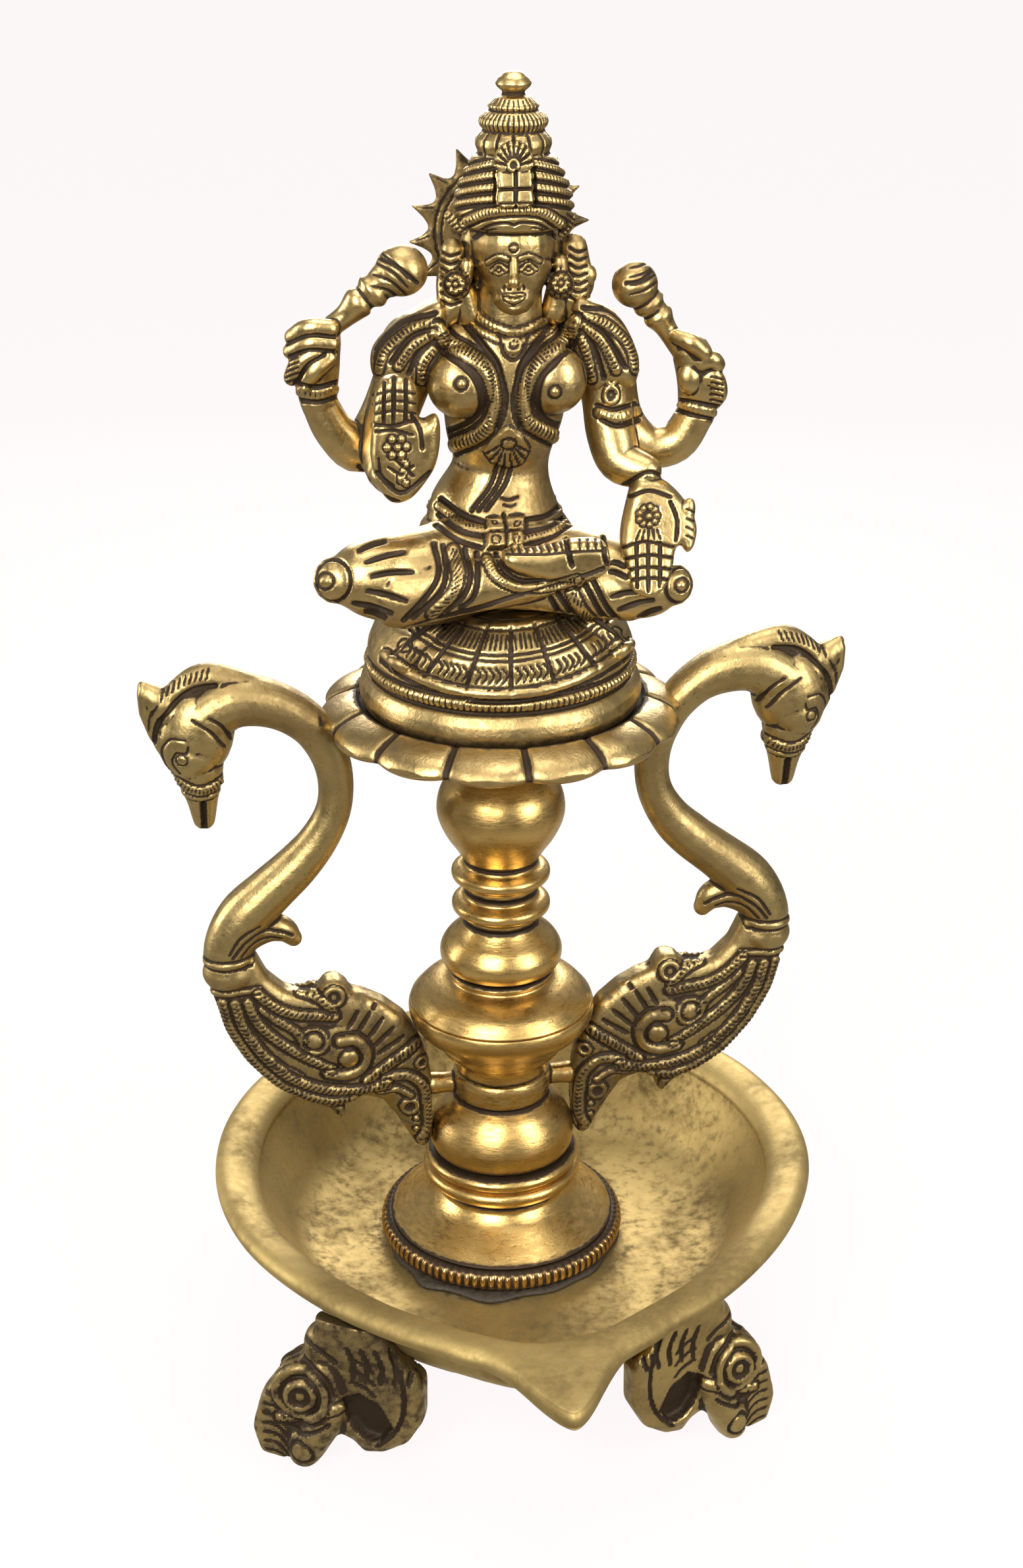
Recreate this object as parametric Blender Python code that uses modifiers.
"""Standing brass oil lamp (samai) with a seated lotus goddess, built as a bench assembly.

A lipped bowl stands on three mask feet. One tie rod runs from a nut under the bowl up
through a stack of turned brass sections into the pedestal, so the whole stem unscrews
from the nut and lifts off the bowl. Two swans bridge the stem and carry the lotus plate.
Lengths are in millimetres here and are scaled to metres as each mesh is made.
Frame: +Z up, spout towards -Y, swans along X, ground at z = 0.
"""
import math

import bmesh
import bpy
from mathutils import Matrix, Vector

MM = 0.001

# ---- Driving dimensions (mm) ----
GAP = 0.3                 # clearance between pieces that touch
BOWL_RADIUS = 70.3        # lip of the round part of the bowl
BOWL_SWAY = 2.5           # the hand-cast bowl is this much fuller on its +X side
SPOUT_REACH = 97.5        # stem axis to the tip of the pouring spout
BACK_REACH = 74.0         # stem axis to the back of the rear foot
RIM_Z = 44.0              # top of the lip
FLOOR_Z = 21.3            # floor inside the bowl
BASE_Z = 14.0             # underside of the bowl at its hub
HUB_RADIUS = 14.0         # flat hub under the bowl, where the nut bears
WALL = 3.6                # thickness of the cast wall
LIP_WIDTH = 8.5           # width of the rounded lip
ROD_RADIUS = 3.0          # M6 tie rod
BORE = ROD_RADIUS + GAP
NUT_RADIUS = 6.6          # corners of the hexagonal nut under the bowl
NUT_HEIGHT = 4.7
PLATE_RADIUS = 39.1       # lotus plate under the pedestal
PLATE_Z = 151.0           # underside of the lotus plate
PETALS = 14
PEDESTAL_Z = 158.8        # underside of the pedestal
SEAT_Z = 180.0            # top of the pedestal, where the figure sits
HEAD_X = 2.8              # the figure leans this far at the head
HALO_RADIUS = 19.2
HALO_RAYS = 16
STEM_Y = (SPOUT_REACH - BACK_REACH) / 2   # puts the middle of the outline at the origin

TURN_STEPS = 28           # facets round a turned section

COLOURS = {
    "brass_bowl": ((0.52, 0.43, 0.20), 0.42),
    "brass_stem": ((0.72, 0.50, 0.16), 0.22),
    "brass_copper": ((0.62, 0.33, 0.13), 0.32),
    "brass_swan": ((0.58, 0.43, 0.16), 0.30),
    "brass_figure": ((0.64, 0.49, 0.20), 0.28),
    "brass_foot": ((0.42, 0.34, 0.16), 0.40),
    "steel_rod": ((0.55, 0.55, 0.53), 0.35),
    "seal_putty": ((0.03, 0.025, 0.02), 0.80),
}


def clear_scene():
    for obj in list(bpy.data.objects):
        bpy.data.objects.remove(obj, do_unlink=True)


def collection(name):
    made = bpy.data.collections.new(name)
    bpy.context.scene.collection.children.link(made)
    return made


def make_material(slot):
    colour, roughness = COLOURS[slot]
    material = bpy.data.materials.new(slot)
    material.use_nodes = True
    shader = material.node_tree.nodes["Principled BSDF"]
    shader.inputs["Base Color"].default_value = (*colour, 1.0)
    shader.inputs["Roughness"].default_value = roughness
    shader.inputs["Metallic"].default_value = 0.0 if slot == "seal_putty" else 1.0
    return material


clear_scene()
PARTS = collection("samai_lamp")
TOOLS = collection("cutters")
MATERIALS = {slot: make_material(slot) for slot in COLOURS}
AXIS = bpy.data.objects.new("stem_axis", None)
AXIS.location = (0.0, STEM_Y * MM, 0.0)
PARTS.objects.link(AXIS)


# ---- Building blocks ----

def add_object(name, mesh, slot, smooth=True):
    """Link a finished mesh as one sub-part on the stem axis."""
    obj = bpy.data.objects.new(name, mesh)
    if smooth:
        mesh.shade_smooth()
    mesh.materials.append(MATERIALS[slot])
    PARTS.objects.link(obj)
    obj.parent = AXIS
    return obj


def add_cutter(name, mesh):
    obj = bpy.data.objects.new(name, mesh)
    TOOLS.objects.link(obj)
    obj.parent = AXIS
    obj.hide_render = True
    obj.display_type = "WIRE"
    return obj


def profile_mesh(name, profile, closed):
    """A turned section's profile in the XZ plane, as (radius, height) pairs."""
    mesh = bpy.data.meshes.new(name)
    count = len(profile)
    edges = [(i, i + 1) for i in range(count - 1)]
    if closed:
        edges.append((count - 1, 0))
    mesh.from_pydata([(r * MM, 0.0, z * MM) for r, z in profile], edges, [])
    return mesh


def screw(obj, steps=TURN_STEPS):
    turn = obj.modifiers.new("turn", "SCREW")
    turn.steps = steps
    turn.render_steps = steps
    turn.use_merge_vertices = True
    turn.merge_threshold = 0.00001
    return obj


def turned(name, outer, slot, bore=BORE, steps=TURN_STEPS):
    """A turned section: outer runs top to bottom, and a plain bore runs through it."""
    bored = outer + [(bore, outer[-1][1]), (bore, outer[0][1])]
    return screw(add_object(name, profile_mesh(name, bored, True), slot), steps)


def turned_solid(name, outer, slot=None, steps=TURN_STEPS):
    """A turned section with no bore: outer runs top to bottom and starts and ends on the axis."""
    mesh = profile_mesh(name, outer, False)
    obj = add_object(name, mesh, slot) if slot else add_cutter(name, mesh)
    return screw(obj, steps)


def ring_loft(name, rings):
    """Mesh through closed rings of equal count; the last ring joins the first."""
    mesh = bpy.data.meshes.new(name)
    build = bmesh.new()
    made = [[build.verts.new(Vector(point) * MM) for point in ring] for ring in rings]
    for here, after in zip(made, made[1:] + made[:1]):
        for i in range(len(here)):
            j = (i + 1) % len(here)
            build.faces.new((here[i], here[j], after[j], after[i]))
    bmesh.ops.recalc_face_normals(build, faces=build.faces)
    build.to_mesh(mesh)
    build.free()
    return mesh


def tube(points, sides=2):
    """Curve object with a round section: points are (x, y, z, radius)."""
    curve = bpy.data.curves.new("tube", "CURVE")
    curve.dimensions = "3D"
    curve.bevel_depth = MM
    curve.bevel_resolution = sides
    curve.use_fill_caps = True
    curve.resolution_u = 4
    spline = curve.splines.new("NURBS")
    spline.points.add(len(points) - 1)
    for target, (x, y, z, radius) in zip(spline.points, points):
        target.co = (x * MM, y * MM, z * MM, 1.0)
        target.radius = radius
    spline.order_u = 3
    spline.use_endpoint_u = True
    return as_mesh(curve)


def flat_plate(outline, thickness, place=Matrix.Identity(4)):
    """Flat outline in the XZ plane, thickened equally to both sides along Y."""
    curve = bpy.data.curves.new("plate", "CURVE")
    curve.dimensions = "2D"
    curve.fill_mode = "BOTH"
    curve.extrude = thickness / 2 * MM
    spline = curve.splines.new("POLY")
    spline.points.add(len(outline) - 1)
    for target, (x, z) in zip(spline.points, outline):
        target.co = (x * MM, z * MM, 0.0, 1.0)
    spline.use_cyclic_u = True
    upright = Matrix.Rotation(math.radians(90.0), 4, "X")
    return as_mesh(curve, place @ upright)


def as_mesh(curve, matrix=Matrix.Identity(4)):
    """Turn a curve into a closed mesh with welded caps."""
    holder = bpy.data.objects.new("holder", curve)
    TOOLS.objects.link(holder)
    bpy.context.view_layer.update()
    evaluated = holder.evaluated_get(bpy.context.evaluated_depsgraph_get())
    mesh = bpy.data.meshes.new_from_object(evaluated)
    bpy.data.objects.remove(holder)
    build = bmesh.new()
    build.from_mesh(mesh)
    bmesh.ops.remove_doubles(build, verts=build.verts, dist=0.00001)
    bmesh.ops.recalc_face_normals(build, faces=build.faces)
    bmesh.ops.transform(build, matrix=matrix, verts=build.verts)
    build.to_mesh(mesh)
    build.free()
    return mesh


def ellipsoid(centre, radii, tilt=0.0):
    """Ellipsoid with its own tilt in degrees about Y."""
    mesh = bpy.data.meshes.new("ellipsoid")
    build = bmesh.new()
    bmesh.ops.create_uvsphere(build, u_segments=20, v_segments=12, radius=MM)
    place = (
        Matrix.Translation(Vector(centre) * MM)
        @ Matrix.Rotation(math.radians(tilt), 4, "Y")
        @ Matrix.Diagonal((*radii, 1.0))
    )
    bmesh.ops.transform(build, matrix=place, verts=build.verts)
    build.to_mesh(mesh)
    build.free()
    return mesh


def cylinder(radius, start, end, segments=20):
    """Cylinder between two points."""
    start, end = Vector(start) * MM, Vector(end) * MM
    mesh = bpy.data.meshes.new("cylinder")
    build = bmesh.new()
    bmesh.ops.create_cone(
        build, cap_ends=True, segments=segments,
        radius1=radius * MM, radius2=radius * MM, depth=(end - start).length,
    )
    turn = (end - start).to_track_quat("Z", "Y").to_matrix().to_4x4()
    bmesh.ops.transform(build, matrix=Matrix.Translation((start + end) / 2) @ turn, verts=build.verts)
    build.to_mesh(mesh)
    build.free()
    return mesh


def mirrored(mesh):
    """Copy of a mesh reflected across the plane x = 0."""
    copy = mesh.copy()
    copy.transform(Matrix.Scale(-1.0, 4, (1.0, 0.0, 0.0)))
    copy.flip_normals()
    return copy


def casting(name, slot, pieces, voxel, triangles):
    """One cast solid: overlapping shapes fused by a voxel remesh, then thinned."""
    mesh = bpy.data.meshes.new(name)
    build = bmesh.new()
    for piece in pieces:
        build.from_mesh(piece)
    build.to_mesh(mesh)
    build.free()
    obj = add_object(name, mesh, slot)
    fuse = obj.modifiers.new("fuse", "REMESH")
    fuse.mode = "VOXEL"
    fuse.voxel_size = voxel * MM
    bpy.context.view_layer.update()
    fused = obj.evaluated_get(bpy.context.evaluated_depsgraph_get()).data
    thin = obj.modifiers.new("thin", "DECIMATE")
    thin.ratio = min(1.0, triangles / (2 * len(fused.polygons)))
    return obj


def cut(obj, cutter):
    knife = obj.modifiers.new("cut", "BOOLEAN")
    knife.operation = "DIFFERENCE"
    knife.solver = "EXACT"
    knife.object = cutter


# ---- Bowl ----

def spout_angles():
    """Angles from the spout's direction, close together at the spout, in degrees."""
    half = [1.2, 2.6, 4.2, 6.2, 8.8, 12.5, 18.0, 26.0, 36.0]
    half += [36.0 + 12.0 * step for step in range(1, 12)]
    return [-a for a in reversed(half)] + [0.0] + half + [180.0]


def lip_radius(angle):
    """Outer edge of the lip: a circle that swells forward and runs out into the spout."""
    swell = 7.0 * math.exp(-((angle / 30.0) ** 2))
    spout = (SPOUT_REACH - BOWL_RADIUS - 7.0) * math.exp(-((abs(angle) / 5.1) ** 1.56))
    return BOWL_RADIUS + swell + spout


def basin_radius(angle):
    """Inner edge of the lip: only a shallow notch reaches into the spout."""
    swell = 7.0 * math.exp(-((angle / 30.0) ** 2))
    notch = 4.0 * math.exp(-((angle / 12.0) ** 2))
    return BOWL_RADIUS - LIP_WIDTH + swell + notch


def bowl_ring(radius_of, z):
    points = []
    for angle in spout_angles():
        radius = radius_of(angle)
        turn = math.radians(angle - 90.0)
        sway = BOWL_SWAY * abs(math.sin(math.radians(angle))) if radius > 2 * HUB_RADIUS else 0.0
        points.append((radius * math.cos(turn) + sway, radius * math.sin(turn), z))
    return points


def bowl_outside(grow=0.0):
    """Rings of the bowl's outer surface, from the hub up to the lip."""
    return [
        bowl_ring(lambda a: HUB_RADIUS + grow, BASE_Z - grow),
        bowl_ring(lambda a: 0.56 * basin_radius(a) + grow, BASE_Z + 1.2 - grow),
        bowl_ring(lambda a: 0.80 * basin_radius(a) + grow, BASE_Z + 6.0 - grow),
        bowl_ring(lambda a: basin_radius(a) - 1.2 + grow, RIM_Z - 15.0 - grow),
        bowl_ring(lambda a: basin_radius(a) + 2.6 + grow, RIM_Z - 6.4 - grow),
        bowl_ring(lambda a: lip_radius(a) - 1.4 + grow, RIM_Z - 5.0 - grow),
        bowl_ring(lambda a: lip_radius(a) + grow, RIM_Z - 2.4),
    ]


def bowl():
    inside = [
        bowl_ring(lambda a: lip_radius(a) - 2.4, RIM_Z),
        bowl_ring(lambda a: basin_radius(a) + 0.6, RIM_Z - 1.2),
        bowl_ring(lambda a: basin_radius(a) - 1.8, RIM_Z - 5.0),
        bowl_ring(lambda a: 0.93 * basin_radius(a) - WALL, RIM_Z - 14.5),
        bowl_ring(lambda a: 0.76 * basin_radius(a), FLOOR_Z + 1.2),
        bowl_ring(lambda a: 0.60 * basin_radius(a), FLOOR_Z),
    ]
    hub = [bowl_ring(lambda a: BORE, FLOOR_Z), bowl_ring(lambda a: BORE, BASE_Z)]
    add_object("bowl", ring_loft("bowl", bowl_outside() + inside + hub), "brass_bowl")


def bowl_envelope():
    """The bowl's outer shape grown by the clearance, to fit the feet against it."""
    rings = bowl_outside(GAP)
    rings.append(bowl_ring(lambda a: lip_radius(a) - 2.4, RIM_Z + GAP))
    rings.append(bowl_ring(lambda a: BORE, RIM_Z + GAP))
    rings.append(bowl_ring(lambda a: BORE, BASE_Z - GAP))
    return add_cutter("bowl_envelope", ring_loft("bowl_envelope", rings))


# ---- Feet ----

FOOT_OUTLINE = [
    (-5.0, 40.0), (-6.5, 31.5), (-11.0, 27.5), (-15.6, 23.5), (-18.2, 15.0),
    (-17.6, 7.0), (-12.5, -1.0), (-5.0, -1.0), (-2.8, 6.0), (0.5, 8.6),
    (3.0, 7.4), (5.5, 4.6), (10.0, 5.0), (15.5, 8.4), (18.5, 14.6), (18.6, 24.0),
    (13.0, 30.0), (8.0, 40.0),
]
FOOT_THICKNESS = 8.0
# name: centre of the plate (x, y) from the stem axis, its turn in degrees, its width factor;
# a negative factor mirrors it, so that its eye looks the other way
FEET = {
    "foot_left": (-43.4, -51.0, -20.0, 1.0),
    "foot_right": (35.6, -55.6, 14.0, -0.92),
    "foot_rear": (0.0, 66.4, 180.0, 1.0),
}


def ground_cutter():
    """Slab below z = 0 that leaves each foot a flat sole."""
    return add_cutter("ground", cylinder(130.0, (0, 0, -8.0), (0, 0, 0), 32))


def foot(name, x, y, turn, width, envelope, ground):
    """Cast mask foot: a thick plate with a bulging eye and a trunk that curls to the ground."""
    pieces = [
        flat_plate(FOOT_OUTLINE, FOOT_THICKNESS),
        ellipsoid((-8.0, -2.6, 21.0), (7.0, 4.0, 7.0)),
        tube([(-2.0, -2.0, 26.0, 5.0), (-3.0, -3.5, 15.0, 4.6), (-7.6, -3.5, 1.5, 4.2)]),
    ]
    stand = casting(name, "brass_foot", pieces, voxel=1.1, triangles=420)
    stand.data.transform(Matrix.Diagonal((width, 1.0, 1.0, 1.0)))
    if width < 0:
        stand.data.flip_normals()
    stand.location = (x * MM, y * MM, 0.0)
    stand.rotation_euler.z = math.radians(turn)
    cut(stand, envelope)
    cut(stand, ground)


# ---- Stem ----

def clamp_hardware():
    """Tie rod from the nut under the bowl to the blind hole in the pedestal."""
    nut_top = BASE_Z - 1.6 - 2 * GAP
    nut_bottom = nut_top - NUT_HEIGHT
    rod_end = nut_bottom - 0.8
    add_object("tie_rod", cylinder(ROD_RADIUS, (0, 0, rod_end), (0, 0, 167.0), 16), "steel_rod")
    turned("base_washer", [(10.0, BASE_Z - GAP), (10.0, BASE_Z - GAP - 1.6)], "brass_stem")
    nut = cylinder(NUT_RADIUS, (0, 0, nut_bottom), (0, 0, nut_top), 6)
    nut = add_object("base_nut", nut, "brass_stem", smooth=False)
    start, end = (0, 0, nut_bottom - 1.0), (0, 0, nut_top + 1.0)
    cut(nut, add_cutter("nut_bore", cylinder(BORE, start, end, 16)))


def stem():
    """The turned sections, from the bowl's floor up to the lotus plate."""
    seal_top = FLOOR_Z + GAP + 0.8
    turned("seal_ring", [(27.6, seal_top), (28.2, FLOOR_Z + GAP)], "seal_putty")
    turned("knurled_ring", [
        (26.4, 27.4), (28.2, 26.4), (28.6, 24.6), (27.4, seal_top + GAP),
    ], "brass_copper")
    turned("bell_foot", [
        (14.6, 36.4), (15.2, 34.6), (18.6, 31.8), (23.4, 29.6), (26.3, 27.7),
    ], "brass_stem")
    turned("collar_ring", [
        (15.6, 45.5), (17.9, 43.6), (17.3, 42.0), (18.3, 40.3), (17.0, 37.8), (14.8, 36.7),
    ], "brass_stem")
    turned("dome_section", [
        (10.4, 60.0), (13.2, 57.4), (15.9, 53.4), (16.8, 49.4), (15.4, 45.8),
    ], "brass_stem")
    turned("vase_section", [
        (10.4, 93.0), (11.6, 91.6), (15.6, 89.4), (19.4, 86.6), (21.2, 83.0), (20.2, 79.6),
        (16.4, 75.6), (11.8, 71.6), (10.4, 66.8),
    ], "brass_stem")
    turned("pear_section", [
        (8.6, 105.0), (11.0, 103.0), (13.2, 100.0), (13.8, 97.2), (12.6, 94.4), (9.4, 93.3),
    ], "brass_stem", steps=24)
    for name, base in (("lower_ring", 105.3), ("upper_ring", 113.1)):
        turned(name, [
            (8.2, base + 7.2), (8.7, base + 6.2), (10.9, base + 4.9), (10.9, base + 3.0),
            (8.7, base + 1.2), (8.2, base),
        ], "brass_stem", steps=24)
    turned("knop_section", [
        (7.6, PLATE_Z - GAP), (7.6, 144.0), (11.2, 140.4), (13.7, 136.6), (14.2, 132.6),
        (12.6, 127.4), (9.7, 123.0), (8.2, 120.6),
    ], "brass_stem", steps=24)


LUG_REACH = 16.6          # outer end of the lugs on the bracket collar
LUG_Z = 63.0
PIN_RADIUS = 1.1


def bracket_collar(pin_holes):
    """Ring in the stem's neck with a lug to each side, where the swans are pinned."""
    ring = profile_mesh("ring", [
        (10.4, 66.5), (11.2, 65.0), (11.2, 61.6), (10.4, 60.3), (BORE, 60.3), (BORE, 66.5),
    ], True)
    collar = screw(add_object("bracket_collar", ring, "brass_stem"), 24)
    for side in (-1, 1):
        start, end = (side * 9.0, 0, LUG_Z), (side * LUG_REACH, 0, LUG_Z)
        lug = add_cutter("lug", cylinder(2.7, start, end, 12))
        weld = collar.modifiers.new("lug", "BOOLEAN")
        weld.operation = "UNION"
        weld.solver = "EXACT"
        weld.object = lug
    for hole in pin_holes:
        cut(collar, hole)


def swan_pins():
    """A pin in each lug, which the swan's tail scroll is pressed on to."""
    holes = []
    for name, side in (("swan_pin_left", -1), ("swan_pin_right", 1)):
        start, end = (side * 12.6, 0, LUG_Z), (side * 21.6, 0, LUG_Z)
        add_object(name, cylinder(PIN_RADIUS, start, end, 12), "brass_stem")
        hole = cylinder(PIN_RADIUS + GAP, (side * 12.3, 0, LUG_Z), (side * 21.9, 0, LUG_Z), 12)
        holes.append(add_cutter(name + "_hole", hole))
    return holes


# ---- Swans ----

SWAN_BODY = [
    (66.5, 101.0), (65.8, 94.0), (62.3, 83.5), (58.0, 75.0), (52.0, 67.0), (46.0, 62.5),
    (43.0, 58.0), (39.0, 57.5), (36.0, 62.5), (32.0, 64.6), (28.6, 62.0), (24.5, 55.0),
    (21.5, 48.6), (18.4, 47.6), (17.6, 55.0), (17.2, 68.0), (19.8, 77.5), (22.4, 82.0),
    (27.0, 86.4), (32.0, 89.8), (36.0, 90.8), (37.4, 93.8), (40.4, 94.8), (44.0, 93.0),
    (48.0, 92.6), (53.0, 96.2), (55.6, 101.0),
]
SWAN_NECK = [
    (61.0, 0, 97.0, 5.6), (61.2, 0, 102.5, 5.6), (57.2, 0, 109.8, 6.0), (51.4, 0, 115.6, 5.4),
    (45.4, 0, 121.4, 4.9), (40.4, 0, 127.6, 4.3), (37.0, 0, 134.4, 3.9), (36.2, 0, 141.4, 3.9),
    (37.6, 0, 148.4, 4.2), (41.6, 0, 155.2, 4.6), (48.6, 0, 160.6, 5.2), (57.4, 0, 162.8, 6.2),
    (64.5, 0, 158.0, 6.0),
]
SWAN_THICKNESS = 9.0


def swan_pieces():
    """Half-round casting of a swan on the +X side: body, neck, head, beak and crest."""
    leaf = [(61, 0, 103, 3.6), (55, 0, 108.4, 3.2), (49, 0, 108.6, 2.8), (46.8, 0, 105.6, 2.2)]
    beak = [(66.6, 0, 147, 4.6), (66.0, 0, 141, 3.8), (65.2, 0, 135.6, 2.6), (65.0, 0, 134.2, 1.8)]
    horn = [(69, 0, 158, 4.6), (73.6, 0, 162.4, 3.4), (75.4, 0, 165.6, 1.9)]
    crest = [(54, 0, 164.5, 3.4), (61, 0, 168.2, 2.8), (68, 0, 165.4, 2.4)]
    return [
        flat_plate(SWAN_BODY, SWAN_THICKNESS),
        tube(SWAN_NECK), tube(leaf), tube(beak), tube(horn), tube(crest),
        ellipsoid((65.6, 0, 155.0), (8.6, 6.4, 11.6), tilt=-12.0),
        ellipsoid((39.0, 0, 77.0), (9.0, 6.2, 9.0)),
        ellipsoid((61.0, 0, 97.0), (6.4, 5.6, 5.0)),
    ]


def swan(name, side, pin_hole, plate):
    pieces = swan_pieces()
    if side < 0:
        pieces = [mirrored(piece) for piece in pieces]
    bird = casting(name, "brass_swan", pieces, voxel=1.0, triangles=1100)
    cut(bird, pin_hole)
    cut(bird, plate)


# ---- Lotus plate and pedestal ----

def petal_ring(radius, z, depth, droop=0.0):
    """Ring whose radius dips by depth at the crease between petals."""
    points = []
    steps = PETALS * 4
    for i in range(steps):
        turn = 2 * math.pi * i / steps - math.pi / 2
        crease = abs(math.cos(PETALS * (turn + math.pi / 2) / 2)) ** 3
        reach = radius - depth * crease
        points.append((reach * math.cos(turn), reach * math.sin(turn), z - droop * crease))
    return points


def lotus_plate():
    rings = [
        petal_ring(BORE, PLATE_Z, 0.0),
        petal_ring(14.0, PLATE_Z, 0.0),
        petal_ring(PLATE_RADIUS - 4.0, PLATE_Z + 2.2, 0.8),
        petal_ring(PLATE_RADIUS, PLATE_Z + 3.8, 1.4),
        petal_ring(PLATE_RADIUS - 2.6, PLATE_Z + 6.2, 1.2, 0.8),
        petal_ring(31.0, PEDESTAL_Z - GAP, 0.0),
        petal_ring(BORE, PEDESTAL_Z - GAP, 0.0),
    ]
    add_object("lotus_plate", ring_loft("lotus_plate", rings), "brass_figure")


def plate_envelope():
    """The plate's outer shape grown by the clearance, to seat its rim in the swans' necks."""
    return turned_solid("plate_envelope", [
        (0.0, PEDESTAL_Z), (31.0, PEDESTAL_Z), (PLATE_RADIUS - 2.2, PLATE_Z + 6.8),
        (PLATE_RADIUS + 0.6, PLATE_Z + 4.0), (PLATE_RADIUS - 3.6, PLATE_Z + 1.6),
        (14.0, PLATE_Z - 0.5), (0.0, PLATE_Z - 0.5),
    ], steps=48)


def pedestal_profile(grow=0.0):
    return [
        (0.0, SEAT_Z + grow), (22.0 + grow, SEAT_Z + grow), (26.6 + grow, 177.0 + grow),
        (28.4 + grow, 172.4), (28.8 + grow, 168.6), (27.6 + grow, 166.8), (29.4 + grow, 165.0),
        (30.3 + grow, 161.8), (29.0 + grow, PEDESTAL_Z - grow),
    ]


def apron_shape(grow=0.0):
    """Fan of the skirt that spills over the front of the seat."""
    return ellipsoid((0.0, -17.0, 174.0), (21.0 + grow, 11.4 + grow, 9.6 + grow))


def pedestal():
    """Round seat with the skirt's fan, and a blind hole for the end of the tie rod."""
    hole_top = 168.0
    outer = pedestal_profile() + [(BORE, PEDESTAL_Z), (BORE, hole_top), (0.0, hole_top)]
    seat = turned_solid("pedestal", outer, "brass_figure", steps=32)
    weld = seat.modifiers.new("apron", "BOOLEAN")
    weld.operation = "UNION"
    weld.solver = "EXACT"
    weld.object = add_cutter("apron", apron_shape())


def pedestal_envelopes():
    """The seat and its fan grown by the clearance, to fit the figure on them."""
    outer = pedestal_profile(GAP) + [(0.0, PEDESTAL_Z - GAP)]
    return turned_solid("seat_envelope", outer), add_cutter("apron_envelope", apron_shape(GAP))


# ---- Figure ----

def torso_pieces():
    """Hips, waist, chest, neck, shoulder drapes and the head under its tall crown."""
    spine = [
        (-1, 3, 184, 15), (-1, 2, 200, 13), (-0.5, 2, 212, 9.2), (0.5, 1, 222, 11),
        (1, 1, 234, 12.5), (1.6, 1.5, 241, 9),
    ]
    crown = [
        (HEAD_X, 0, 258, 11.4), (HEAD_X, 0, 265, 11.4), (HEAD_X, 0, 272, 9.6),
        (HEAD_X, 0, 279, 7.4), (HEAD_X, 0, 284, 4.2), (HEAD_X, 0, 287, 3.4), (HEAD_X, 0, 289.6, 2.2),
    ]
    pieces = [
        tube(spine, 4), tube(crown, 4),
        tube([(1.6, 0, 238, 6.4), (2.2, -0.6, 250, 6.0)], 4),
        ellipsoid((0.5, 2, 232), (17, 9, 11)),
        ellipsoid((-1, 2, 191), (18, 12, 14)),
        ellipsoid((HEAD_X - 0.4, -1.0, 254), (9.4, 9.8, 10.6)),
    ]
    for side in (-1, 1):
        pieces.append(ellipsoid((side * 9.6 + 0.6, -6.5, 229.4), (6.6, 6.0, 6.6)))
        pieces.append(ellipsoid((side * 18.5 + 1, 3, 234.5), (8.6, 7.5, 7.5), tilt=side * 35.0))
        pieces.append(ellipsoid((side * 12.4 + HEAD_X, -1, 249.4), (3.4, 3.2, 3.6)))
        pieces.append(ellipsoid((side * 14.6 + HEAD_X, 3.6, 250.4), (3.6, 4.2, 4.4)))
    return pieces


def arm_pieces():
    """Four arms: a pair raised with lotus buds, one palm raised, one palm lowered."""
    limbs = [
        [(-22, 4, 233, 5.6), (-27, 4, 220, 5.0), (-31, 2, 214.5, 4.8), (-38.2, 0, 227, 3.6)],
        [(-38.2, 0, 226, 4.0), (-38, -1, 233, 5.4), (-36.8, -2, 240.6, 4.6)],
        [(-36, -2, 239.4, 2.6), (-28.4, -3, 246.2, 2.8), (-21, -3, 251.4, 3.0)],
        [(22, 4, 232, 5.6), (24, 4, 220, 5.0), (29, 3, 213, 4.8), (39.4, 0, 221.6, 3.8)],
        [(39.4, 0, 220, 4.0), (41, -1, 226.6, 5.4), (38.8, -2, 233, 4.4)],
        [(38.4, -2, 232, 2.6), (33.2, -2, 239.6, 2.8), (28.2, -2, 246.6, 3.0)],
        [(-21, 1, 234, 6.0), (-25.4, -2, 216, 5.2), (-25.6, -8, 211, 4.8), (-24, -15, 212.4, 4.4)],
        [(21, 1, 233, 6.0), (24.4, -2, 216, 5.2), (29, -7, 209, 4.6), (31, -9.4, 203, 4.2)],
    ]
    pieces = [tube(limb, 3) for limb in limbs]
    pieces += [
        ellipsoid((-20.0, -3, 252.0), (5.2, 5.0, 5.0)),
        ellipsoid((27.2, -2, 247.4), (4.6, 4.6, 4.6)),
        ellipsoid((-23, -16, 219.4), (7.4, 3.6, 10.2)),
        ellipsoid((-23.4, -16, 229.4), (5.4, 3.2, 4.6)),
        ellipsoid((31.6, -10, 200), (7.2, 3.4, 9.0)),
        ellipsoid((30.8, -10.6, 191.4), (5.4, 3.0, 7.4)),
    ]
    return pieces


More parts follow.
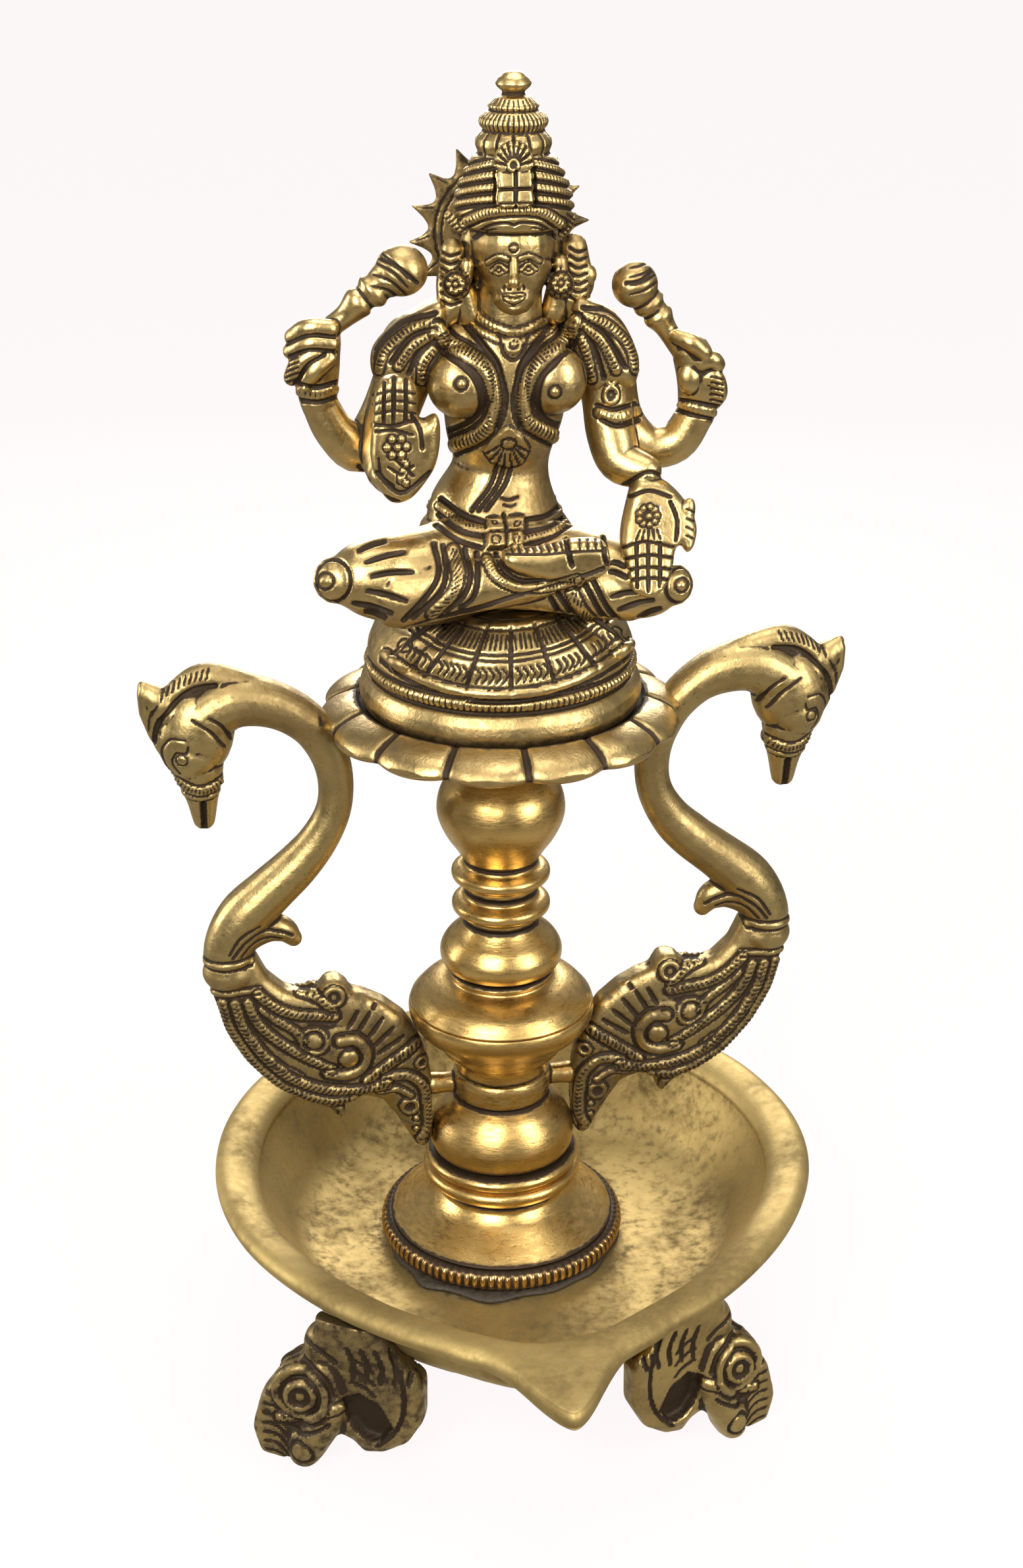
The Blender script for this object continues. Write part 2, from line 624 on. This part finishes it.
def leg_pieces():
    """Crossed legs on the seat, each ending in a round knee."""
    legs = [
        [(-38.2, -15, 193, 5.4), (-34, -14.6, 192.8, 7.2), (-20, -12, 191.6, 9.6), (-4, -5, 192, 10.0)],
        [(36.6, -15, 188, 5.2), (32, -14.6, 187.8, 7.0), (20, -12, 189, 8.8), (4, -5, 191, 10.0)],
        [(-22, -16, 190, 7.6), (-6, -20, 190.5, 6.2), (10, -20.5, 190.6, 5.8), (24, -17, 189, 5.6)],
        [(4, -19.4, 195.4, 4.6), (14, -19.6, 196.2, 4.4), (22, -18.4, 195.4, 3.4)],
    ]
    return [tube(leg, 4) for leg in legs]


def figure(envelopes):
    pieces = torso_pieces() + arm_pieces() + leg_pieces()
    goddess = casting("figure", "brass_figure", pieces, voxel=1.1, triangles=2600)
    for envelope in envelopes:
        cut(goddess, envelope)
    return goddess


# ---- Halo ----

HALO_Z = 256.0
HALO_Y = 12.6
RIVET_RADIUS = 1.4


def halo():
    """Sun-ray plate behind the head, held by one rivet into the back of the head."""
    outline = []
    for ray in range(HALO_RAYS):
        for share, reach in ((0.0, 1.0), (0.28, 0.84), (0.5, 0.76), (0.78, 0.80)):
            turn = math.radians(5.0 + 360.0 * (ray + share) / HALO_RAYS)
            x = HEAD_X - 0.9 + HALO_RADIUS * reach * math.cos(turn)
            outline.append((x, HALO_Z + HALO_RADIUS * reach * math.sin(turn)))
    place = Matrix.Translation((0.0, HALO_Y * MM, 0.0))
    plate = add_object("halo", flat_plate(outline, 1.4, place), "brass_figure", smooth=False)
    start, end = (HEAD_X, 5.0, HALO_Z), (HEAD_X, HALO_Y + 1.6, HALO_Z)
    rivet = cylinder(RIVET_RADIUS, start, end, 12)
    add_object("halo_rivet", rivet, "brass_stem")
    near, far = (HEAD_X, 5.0 - GAP, HALO_Z), (HEAD_X, HALO_Y + 4.0, HALO_Z)
    hole = add_cutter("rivet_hole", cylinder(RIVET_RADIUS + GAP, near, far, 12))
    cut(plate, hole)
    return hole


# ---- Assembly ----

bowl()
FIT = bowl_envelope()
GROUND = ground_cutter()
for foot_name, placing in FEET.items():
    foot(foot_name, *placing, FIT, GROUND)
clamp_hardware()
stem()
PIN_HOLES = swan_pins()
bracket_collar(PIN_HOLES)
PLATE_FIT = plate_envelope()
swan("swan_left", -1, PIN_HOLES[0], PLATE_FIT)
swan("swan_right", 1, PIN_HOLES[1], PLATE_FIT)
lotus_plate()
pedestal()
GODDESS = figure(pedestal_envelopes())
cut(GODDESS, halo())
